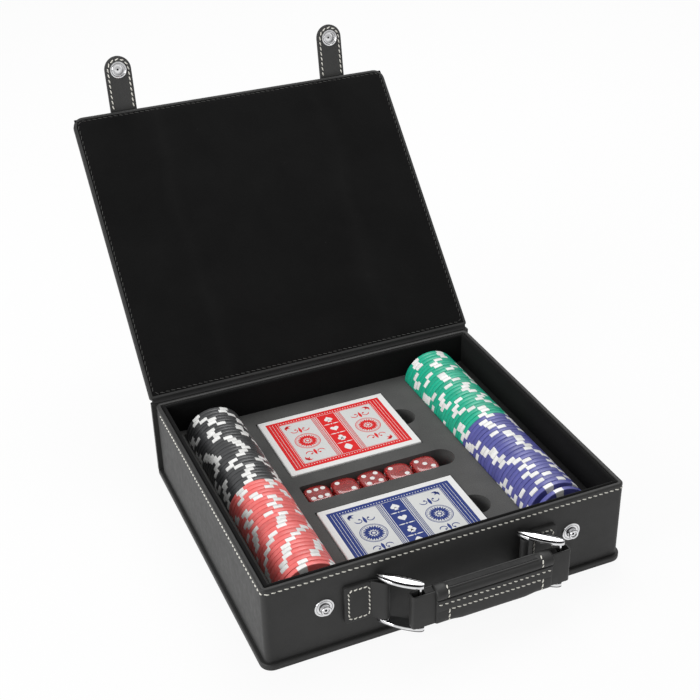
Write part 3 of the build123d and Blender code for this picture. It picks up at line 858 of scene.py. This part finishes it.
def link(side):
    """Two chrome bars, ridged along their middle, joined by the pins near their ends"""
    near = joint_place("link_%s_swing" % side)
    far = near + joint_place("handle_swing") - joint_place("link_left_swing")
    low, high = cad_box("handle_link_" + side)
    middle = (near + far) / 2
    ahead = (far - near).normalized()
    across = Vector((-ahead.y, ahead.x, 0))
    upper = high.z - BAR_THICK
    lower = low.z + BAR_THICK
    piece = Piece()
    for z_inner, way in ((upper, 1), (lower, -1)):
        rings = []
        for a in steps(0, pi, 44):
            t = -cos(a)
            near_half = 0 if t < 0 else 1
            blunt = BAR_BLUNT[near_half]
            share = blunt * sqrt(1 - abs(t) ** 12) + (1 - blunt) * (1 - t * t)
            half = BAR_WIDTH / 2 * share + 0.05
            centre = middle + ahead * (t * BAR_REACH[near_half])
            centre.z = z_inner
            section = bar_section(half, (BAR_THICK - BAR_STEP) * (1 - 0.5 * abs(t) ** 6))
            rings.append([centre + across * u + Z * (way * h) for u, h in section])
        piece.skin(rings, lambda r, i: BAR_SLOTS.get(i, 0), caps=True)
    for pin in (near, far):
        rise = [low.z + BAR_THICK * 0.4, lower + 0.5, upper - 0.5, high.z - BAR_THICK * 0.4]
        lathe(piece, [(1.2, z) for z in rise], lambda u, h, w: (pin.x + u, pin.y + w, h), 0, 24)
        for z_inner, way in ((upper, -1), (lower, 1)):
            lathe(piece, [(2.1, 0.0), (2.1, 0.15), (1.9, 0.3), (1.2, 0.34)],
                  lambda u, h, w: (pin.x + u, pin.y + w, z_inner + way * h), 0, 24)
    piece.make("handle_ring_" + side, [CHROME, CHROME_GROOVE_SHADE, CHROME_SHADE], "link_" + side,
               ["handle_link_" + side])


def belt():
    """The leather loop that runs round both outer pins"""
    low, high = cad_box("handle_belt")
    path = rounded_path(low.x, high.x, low.y, high.y, 1.9, 5.0, 8)
    piece = Piece()
    swept_strip(piece, path, 1.3, high.z - low.z, (low.z + high.z) / 2, joined=True)
    piece.make("handle_belt_leather", [LEATHER], "handle", ["handle_belt"])


GRIP_SEAM = 5.0
GRIP_ROWS = (2.1, -3.1)
GRIP_END_STITCH = 7.2
GRIP_WAIST = 1.5
GRIP_HANG = 1.1
GRIP_SHIFT = 0.8


def smooth(value):
    value = max(0.0, min(1.0, value))
    return value * value * (3 - 2 * value)


def grip():
    """A padded roll above and a lapped flat below, joined by a seam and two long stitched rows"""
    low, high = cad_box("handle_grip")
    middle = (low + high) / 2 + Vector((GRIP_SHIFT, 0, 0))
    half = (high - low) / 2
    span = (half.z - GRIP_SEAM) / 2

    def pinch(x):
        return 1 - 0.5 * exp(-((abs(x) - half.x + GRIP_END_STITCH) / 1.1) ** 2)

    def flare(x):
        # 1 at the ends beyond the cross stitching, 0 along the waist
        return smooth((abs(x) - half.x + GRIP_END_STITCH + 3.0) / 4.5)

    def height(x, z):
        # The waist is lower on top; between its ends the leather hangs a little below its core
        if z > GRIP_SEAM:
            return z - GRIP_WAIST * (1 - flare(x)) * (z - GRIP_SEAM) / (half.z - GRIP_SEAM)
        hang = GRIP_HANG * smooth((half.x - abs(x) - 9) / 9)
        return z - hang * ((GRIP_SEAM - z) / (GRIP_SEAM + half.z)) ** 2

    def rounding(z):
        # 1 along the middle and 0 at the top and bottom edges
        if z <= GRIP_SEAM:
            return (1 - min(1.0, abs(z / half.z)) ** 7) ** 0.3
        t = (z - GRIP_SEAM - span) / span
        return sqrt(max(0.0, 1 - t ** 2.2)) if t > 0 else 1.0

    def front(x, z):
        if z > GRIP_SEAM:
            t = min(0.0, (z - GRIP_SEAM - span) / span)
            bulge = (0.9 + 0.5 * flare(x)) * pinch(x)
            thick = (half.y - 0.9 + (bulge + 0.9) * sqrt(max(0.0, 1 - t * t))) * rounding(z)
        else:
            lap = min(1.0, (GRIP_SEAM - z) / 0.4) * (0.9 - 0.3 * min(1.0, (GRIP_SEAM - z) / 9))
            thick = (half.y - 0.5 + lap) * rounding(z)
            thick -= sum(0.16 * exp(-((z - row) / 0.5) ** 2) for row in GRIP_ROWS)
        return middle.y - thick - 0.1 * noise.noise(Vector((x * 0.08, z * 0.15, 1.0)))

    def back(x, z):
        return middle.y + (half.y - 0.4 + 0.4 * (1 - (z / half.z) ** 2) * pinch(x)) * rounding(z)

    levels = [half.z * cos(a) for a in steps(0, pi, 52)]
    levels = [z for z in levels if abs(z - GRIP_SEAM) > 0.25]
    levels += [GRIP_SEAM + step for step in (0.15, 0.01, -0.05, -0.4)]
    levels += [row + step for row in GRIP_ROWS for step in (-0.4, 0.0, 0.4)]
    levels.sort(reverse=True)
    rings = []
    for x in steps(-half.x, half.x, 96):
        edge = max(0.0, 1 - (half.x - abs(x)) / 0.9) ** 2
        ring = [(front(x, z), height(x, z)) for z in levels]
        ring += [(back(x, z), height(x, z)) for z in reversed(levels[1:-1])]
        rings.append([(middle.x + x, middle.y + (y - middle.y) * (1 - 0.12 * edge),
                       middle.z + z * (1 - 0.02 * edge)) for y, z in ring])
    piece = Piece()
    piece.skin(rings, caps=True)

    def on_front(x, z):
        return Vector((middle.x + x, front(x, z), middle.z + height(x, z)))

    def roll_normal(p):
        return 0, p.y - middle.y + 1.0, 0.9 * (p.z - middle.z - 7.5)

    inner_x = half.x - GRIP_END_STITCH
    first, second = GRIP_ROWS
    for end in (-inner_x, inner_x):
        drops = (12.75, 12.6, 12.3, 11.8, 11.0, 10.0, 9.0, 7.5, 5.6)
        stitches(piece, [on_front(end, z) for z in drops], roll_normal, 1, pitch=3.1)
    row = [on_front(x, first) for x in steps(0.6 - half.x, half.x - 0.6, 30)]
    stitches(piece, row, (0, -1, 0), 1, pitch=3.7, fill=0.66)
    drops = (-12.4, -10.0, -8.0, -5.5, second - 0.6)
    row = [on_front(0.9 - inner_x, z) for z in drops]
    row += [on_front(x, second) for x in steps(1.4 - inner_x, inner_x + 0.4, 30)]
    row += [on_front(inner_x + 0.9, z) for z in reversed(drops)]
    stitches(piece, row, (0, -1, 0), 1, pitch=3.4, fill=0.8)
    made = piece.make("handle_grip_leather", [LEATHER, THREAD], "handle",
                      ["handle_grip"], angle=75)


# Chips

CHIP_RADIUS = 19.5
CHIP_THICK = 3.45
CHIP_HALF = 1.7
CHIP_SEGMENTS = 84
SPOTS = 6
SPOT_SEGMENTS = 4
SPOT_INNER = 14.2
CHIP_EDGE = [(18.5, 0.0), (19.2, -0.06), (19.43, -0.26), (CHIP_RADIUS, -0.5)]
CHIP_FACE = [(3.0, -0.24), (11.2, -0.24), (11.7, -0.04), (12.5, -0.04), (12.9, -0.18),
             (SPOT_INNER, -0.14)] + CHIP_EDGE
CHIP_PLAIN = [(SPOT_INNER, -0.02)] + CHIP_EDGE
RED_JUMP = 0.58
CHIP_CREEP = 0.3


def islands(name):
    """The boxes of a CAD node's separate solids, from back to front"""
    tool = bmesh.new()
    tool.from_mesh(frame["nodes"][name].data)
    bmesh.ops.remove_doubles(tool, verts=tool.verts, dist=1e-7)
    left = set(tool.verts)
    boxes = []
    while left:
        wave = [left.pop()]
        group = []
        while wave:
            vertex = wave.pop()
            group.append(vertex.co / MM)
            near = {edge.other_vert(vertex) for edge in vertex.link_edges} & left
            left -= near
            wave.extend(near)
        boxes.append(corners(group))
    tool.free()
    return sorted(boxes, key=lambda pair: -pair[0].y - pair[1].y)


def chip(piece, centre, lean, turn, face):
    """One disc with its edge spots; lean tips it back, turn spins it"""
    profile = [(r, -CHIP_HALF - h) for r, h in face]
    profile += [(r, CHIP_HALF + h) for r, h in reversed(face)]
    rings = []
    for r, h in profile:
        circle = [on_circle(r, a) for a in turns(CHIP_SEGMENTS, turn)]
        rings.append([about_x(centre + Vector((u, h, w)), centre, -lean) for u, w in circle])

    def spot(ring, place):
        outer = min(profile[ring][0], profile[ring + 1][0]) >= SPOT_INNER
        return 1 if outer and place % (CHIP_SEGMENTS // SPOTS) < SPOT_SEGMENTS else 0

    piece.skin(rings, spot, caps=True)


def chip_stack(colour):
    """A row of chips, each where its solid is; the ends show their faces"""
    piece = Piece()
    boxes = islands("chips_" + colour)
    slope = atan2(CHIP_THICK, 2 * CHIP_RADIUS)
    across = hypot(CHIP_THICK, 2 * CHIP_RADIUS)
    turn = 0.0
    for index, (low, high) in enumerate(boxes):
        lean = max(0.0, asin(min(1.0, (high.y - low.y) / across)) - slope)
        centre = (low + high) / 2
        if lean < 0.01:
            centre.x += chance.uniform(-0.12, 0.12)
            centre.z += chance.uniform(-0.1, 0.15)
            lean = 0.0
        face = CHIP_FACE if index == 0 or index >= len(boxes) - 3 else CHIP_PLAIN
        if chance.random() < RED_JUMP:
            turn = chance.uniform(0, 2 * pi)
        else:
            turn += chance.uniform(-CHIP_CREEP, CHIP_CREEP)
        chip(piece, centre, lean, turn, face)
    piece.make("chip_row_" + colour, [CHIP_COLOURS[colour], WHITE_CHIP],
               "chips_" + colour, ["chips_" + colour], angle=30)


# Dice

DIE_SPHERE = 12.1
DIE_CELLS = 14
PIP_RADIUS = 1.6
PIP_STEP = 4.1
SIX_STEPS = (4.55, 3.85)
DIE_TOPS = [6, 2, 5, 2, 3]
DIE_YAWS = [0.5, -2.0, 2.5, -2.5, 1.5]
PIP_PLACES = {
    1: [(0, 0)],
    2: [(-1, 1), (1, -1)],
    3: [(-1, 1), (0, 0), (1, -1)],
    4: [(-1, -1), (-1, 1), (1, -1), (1, 1)],
    5: [(-1, -1), (-1, 1), (0, 0), (1, -1), (1, 1)],
    6: [(-1, -1), (0, -1), (1, -1), (-1, 1), (0, 1), (1, 1)],
}


def die(number, top, yaw):
    """A cube with rounded corners and edges and a painted dish for each pip"""
    name = "die_%d" % number
    low, high = cad_box(name)
    centre = (low + high) / 2
    half = (high.z - low.z) / 2
    spin = Matrix.Rotation(radians(yaw), 3, "Z")
    front, right = [n for n in (1, 2, 3) if n not in (top, 7 - top)]
    sides = [(Z, X, top), (-Z, X, 7 - top), (-Y, X, front), (Y, X, 7 - front), (X, Y, right),
             (-X, Y, 7 - right)]
    piece = Piece()
    for out, u, count in sides:
        v = out.cross(u)

        def surface(a, b):
            ray = (out + u * tan(a * pi / 4) + v * tan(b * pi / 4)).normalized()
            flat = half / max(abs(c) for c in ray)
            return centre + spin @ (ray * (flat ** -16 + DIE_SPHERE ** -16) ** (-1 / 16))

        cells = steps(-1, 1, DIE_CELLS)
        piece.skin([[surface(a, b) for a in cells] for b in cells], closed=False)
        step_u, step_v = SIX_STEPS if count == 6 else (PIP_STEP, PIP_STEP)
        for pu, pv in PIP_PLACES[count]:
            spot = out * half + u * (pu * step_u) + v * (pv * step_v)
            dish = [(PIP_RADIUS, -0.35), (PIP_RADIUS, 0.0), (PIP_RADIUS * 0.92, 0.05),
                    (PIP_RADIUS * 0.5, 0.01), (0.0, 0.0)]
            lathe(piece, dish,
                  lambda a, h, b: centre + spin @ (spot + u * a + v * b + out * h), 1, 20)
    made = piece.make("dice_%d" % number, [ACRYLIC, PIP], name, [name],
                      angle=50)
    face_outwards(made.data, merge=True)


# Card boxes

FRAME_INSET = 4.3
FRAME_END_U = 12.6
FRAME_END_V = 9.2
BAND_HALF = 7.4
LAYER = 0.03
WHITE, INK, PALE = range(3)


class Print:
    """Flat shapes printed on one face: (u, v) on the face, stacked in thin layers"""

    def __init__(self, piece, place):
        self.piece = piece
        self.place = place

    def use(self, layer, slot):
        """The layer and the ink of the shapes that follow"""
        self.height = LAYER * (layer + 1)
        self.slot = slot

    def points(self, outline):
        return [self.place(u, v, self.height) for u, v in outline]

    def shape(self, outline):
        self.piece.add(self.points(outline), [range(len(outline))], [self.slot])

    def strip(self, lines, closed=True):
        self.piece.skin([self.points(line) for line in lines], self.slot, closed)

    def rule(self, u, v, half_u, half_v):
        self.shape([(u + a * half_u, v + b * half_v)
                    for a, b in ((-1, -1), (1, -1), (1, 1), (-1, 1))])

    def disc(self, u, v, radius, sides=20, turn=0.0):
        self.shape([on_circle(radius, a, u, v) for a in turns(sides, turn)])

    def ring(self, u, v, radius, width):
        self.strip([[on_circle(r, a, u, v) for a in turns(40)] for r in (radius, radius - width)])

    def leaf(self, u, v, angle, start, end, width):
        """A pointed leaf lying along a direction from (u, v)"""
        c = cos(angle)
        s = sin(angle)
        outline = []
        for way, places in ((1, range(9)), (-1, range(7, 0, -1))):
            for k in places:
                r = start + (end - start) * k / 8
                w = way * width / 2 * sin(pi * (k / 8) ** 0.8)
                outline.append((u + r * c - w * s, v + r * s + w * c))
        self.shape(outline)

    def scroll(self, u, v, angle, size, way):
        """A tapering curl that winds inwards to a dot"""
        lines = []
        for t in steps(0, 1, 24):
            r = size * (1 - 0.72 * t)
            w = 0.42 * (1 - 0.6 * t) * min(1.0, 6 * t + 0.15)
            lines.append([on_circle(r + e, angle + way * t * 4.2, u, v) for e in (-w, w)])
        self.strip(lines, closed=False)
        self.disc(*on_circle(size * 0.28, angle + way * 4.2, u, v), 0.7, 12)

    def diamond(self, u, v, size):
        outline = []
        for a in turns(16):
            pull = size * (abs(cos(a)) ** 1.25 + abs(sin(a)) ** 1.25) ** -0.8
            outline.append((u + 0.8 * pull * cos(a), v + pull * sin(a)))
        self.shape(outline)

    def heart(self, u, v, size, way):
        outline = []
        for a in turns(28):
            rise = (13 * cos(a) - 5 * cos(2 * a) - 2 * cos(3 * a) - cos(4 * a)) / 16
            outline.append((u + size * sin(a) ** 3, v + way * size * rise))
        self.shape(outline)

    def stem(self, u, v, size):
        self.shape([(u - size * 0.12, v), (u - size * 0.5, v - size * 0.95),
                    (u + size * 0.5, v - size * 0.95), (u + size * 0.12, v)])

    def spade(self, u, v, size):
        self.heart(u, v, size, -1)
        self.stem(u, v - size * 0.25, size)

    def club(self, u, v, size):
        for a in (90, 210, 330):
            self.disc(*on_circle(size * 0.5, radians(a), u, v), size * 0.47)
        self.stem(u, v - size * 0.1, size)


def print_top(face, half_u, half_v):
    """Bordered frame, a suit band across the middle and a rosette in each panel"""
    inner_u = half_u - FRAME_END_U
    inner_v = half_v - FRAME_END_V
    face.use(0, INK)
    face.rule(0, 0, half_u - FRAME_INSET, half_v - FRAME_INSET)
    face.use(1, PALE)
    face.rule(0, 0, inner_u, inner_v)
    face.use(1, WHITE)
    for way in (-1, 1):
        for inset in (6.6, 8.6, 10.8):
            face.rule(way * (half_u - inset), 0, 0.11, inner_v + 3.0)
        for u in steps(-inner_u, inner_u, round(2 * inner_u / 1.9)):
            face.disc(u, way * (half_v - 6.9), 0.42, 6, pi / 2)
        face.rule(0, way * (inner_v + 0.55), inner_u + 0.4, 0.12)
        face.rule(way * (inner_u + 0.55), 0, 0.12, inner_v)
    face.use(3, INK)
    face.rule(0, 0, BAND_HALF, inner_v)
    for u in (BAND_HALF - 0.9, BAND_HALF + 0.9, BAND_HALF + 1.8, BAND_HALF + 2.7):
        face.use(4, WHITE if u < BAND_HALF else INK)
        for way in (-1, 1):
            face.rule(way * u, 0, 0.2, inner_v)
    face.use(4, WHITE)
    step = inner_v * 0.5
    face.spade(0, 1.5 * step + 0.3, 2.9)
    face.heart(0, 0.5 * step, 2.9, 1)
    face.club(0, -0.5 * step, 3.1)
    face.diamond(0, -1.5 * step, 3.6)
    for v in (-step, 0, step):
        face.leaf(-3.2, v, pi, -2.4, 2.4, 0.9)
        face.leaf(3.2, v, 0, -2.4, 2.4, 0.9)
        face.disc(0, v, 0.55, 12)
    for way in (-1, 1):
        u0 = way * (inner_u + BAND_HALF + 3.2) / 2
        face.use(2, INK)
        face.ring(u0, 0, 8.6, 0.45)
        face.ring(u0, 0, 7.7, 0.25)
        for k in range(12):
            face.leaf(u0, 0, pi * k / 6, 2.3, 7.0, 2.0)
            face.leaf(u0, 0, pi * (k + 0.5) / 6, 3.6, 7.3, 0.8)
        face.disc(u0, 0, 1.9, 24)
        face.use(3, PALE)
        face.disc(u0, 0, 1.1, 24)
        face.use(2, INK)
        for up in (-1, 1):
            for side in (-1, 1):
                face.scroll(u0 + side * 3.4, up * 14.2, (1 - side) * pi / 2, 3.2, -side * up)
            face.leaf(u0, up * 10.2, up * pi / 2, 0.0, 7.0, 2.0)
        for up in (1, -1):
            for k in range(5):
                a = atan2(-up, -way) + radians(20 * k - 40)
                end = (4.6, 3.4)[k % 2]
                face.leaf(way * (inner_u - 2.4), up * (inner_v - 2.4), a, 0.8, end, 1.1)


def print_side(face, half_u, half_v):
    """A dark panel with a border and a row of diamonds"""
    face.use(0, INK)
    face.rule(0, 0, half_u - 4.2, half_v - 3.4)
    face.use(1, WHITE)
    border = [(half_u - 5.0 - w, half_v - 4.2 - w) for w in (0, 0.35)]
    face.strip([[(-a, -b), (a, -b), (a, b), (-a, b)] for a, b in border])
    count = int((half_u - 9) / 7.5)
    for k in range(-count, count + 1):
        face.diamond(k * 7.5, 0, 2.4)


def card_box(colour):
    """A printed carton, open at the end where its tuck flap is"""
    low, high = cad_box("card_box_" + colour)
    middle = (low + high) / 2
    half = (high - low) / 2
    card = 0.5
    stations = [(low.x, 0.9), (low.x + 0.15, 0.35), (low.x + 0.6, 0.0), (high.x - 6.0, 0.0),
                (high.x, 0.0), (high.x, card), (low.x + card, card)]
    rings = []
    for x, inset in stations:
        section = soft_section(2 * (half.y - inset), 2 * (half.z - inset), 0.55, 4)
        rings.append([(x, middle.y + v, middle.z + w) for v, w in section])
    piece = Piece()
    piece.skin(rings, caps=True)
    top = Print(piece, lambda u, v, h: (middle.x + u, middle.y + v, high.z + h))
    print_top(top, half.x, half.y)
    sides = [
        (lambda u, v, h: (middle.x + u, middle.y - v, low.z - h), half.x, half.y * 0.6),
        (lambda u, v, h: (middle.x + u, low.y - h, middle.z + v), half.x, half.z),
        (lambda u, v, h: (middle.x - u, high.y + h, middle.z + v), half.x, half.z),
        (lambda u, v, h: (low.x - h, middle.y - u, middle.z + v), half.y, half.z),
    ]
    for place, half_u, half_v in sides:
        print_side(Print(piece, place), half_u, half_v)
    piece.make("carton_" + colour, [BOARD_WHITE, INKS[colour], PANEL],
               "deck_" + colour, ["card_box_" + colour], angle=30)
    dress(BOARD_WHITE, "tuck_flap_" + colour)


# Stage

FLOOR_HALF = 8.0


def floor():
    """A pale floor that shows white to the camera and keeps the object's shadow"""
    made = Surface("floor_white", Base_Color=(0.9, 0.9, 0.9, 1), Roughness=0.9)
    glow = made.add("Emission", Strength=1.0)
    share = made.maths("MULTIPLY", made.seen(1.0), 0.92)
    made.mix_into(made.tree.nodes["Material Output"], share, made.shader, glow)
    mesh = bpy.data.meshes.new("floor")
    square = [(-1, -1), (1, -1), (1, 1), (-1, 1)]
    mesh.from_pydata([(x * FLOOR_HALF, y * FLOOR_HALF, 0) for x, y in square], [], [range(4)])
    mesh.materials.append(made.material)
    put("floor", mesh)


def world():
    """Plain studio light all round, white where it is seen"""
    made = bpy.data.worlds.new("studio")
    scene.world = made
    made.use_nodes = True
    made.node_tree.nodes.clear()
    studio = Nodes(made.node_tree)
    light, white = [studio.add("Background", Strength=strength, Color=(1, 1, 1, 1))
                    for strength in (0.38, 1.0)]
    studio.mix_into(studio.add("OutputWorld"), studio.seen(0.35), light, white)


def lamp(name, place, target, size, power):
    data = bpy.data.lights.new(name, "AREA")
    data.shape = "DISK"
    data.size = size
    data.energy = power
    made = put(name, data)
    made.location = place
    made.rotation_mode = "QUATERNION"
    made.rotation_quaternion = (Vector(target) - Vector(place)).to_track_quat("-Z", "Y")


CAMERA_AZIMUTH = radians(-22.7)
CAMERA_ELEVATION = radians(30.74)
CAMERA_ROLL = radians(-1.43)
CAMERA_TARGET = Vector((65.98, 199.28, 0.0))
CAMERA_DISTANCE = 1022.58
CAMERA_LENS = 66.75


def camera():
    """The photograph's view: a point on the table, a direction, a distance and a small roll"""
    turn = (Matrix.Rotation(CAMERA_AZIMUTH, 4, "Z")
            @ Matrix.Rotation(pi / 2 - CAMERA_ELEVATION, 4, "X")
            @ Matrix.Rotation(CAMERA_ROLL, 4, "Z"))
    data = bpy.data.cameras.new("camera")
    data.lens = CAMERA_LENS
    data.sensor_width = 36.0
    data.clip_start = 0.05
    data.clip_end = 30
    made = put("camera", data)
    made.matrix_world = Matrix.Translation(CAMERA_TARGET * MM) @ turn @ Matrix.Translation(
        (0, 0, CAMERA_DISTANCE * MM))
    scene.camera = made


camera()
world()
floor()
lamp("left_softbox", (-1.35, -0.2, 0.7), (0, 0, 0.05), 0.9, 12)
lamp("top_softbox", (0.4, 0.6, 1.3), (0, 0, 0), 1.1, 11)
scene.view_settings.view_transform = "Standard"

wall_skin()
rim_stitching()
lid_lining()
lid_stitching("lid_lining_stitching", THREAD_GREY, LINING_STITCH, 4, LID_LOW.z - 0.04,
              -1, 0.2)
lid_stitching("lid_cover_stitching", THREAD, COVER_STITCH, 5, LID_HIGH.z, 1,
              STITCH_RADIUS)
hinge_fold()
for hand in ("left", "right"):
    strap(hand)
    stud(hand)
    tab(hand)
    link(hand)
belt()
grip()
for chips in CHIP_COLOURS:
    chip_stack(chips)
for place_in_row, (pips, angle) in enumerate(zip(DIE_TOPS, DIE_YAWS)):
    die(place_in_row + 1, pips, angle)
for deck in INKS:
    card_box(deck)
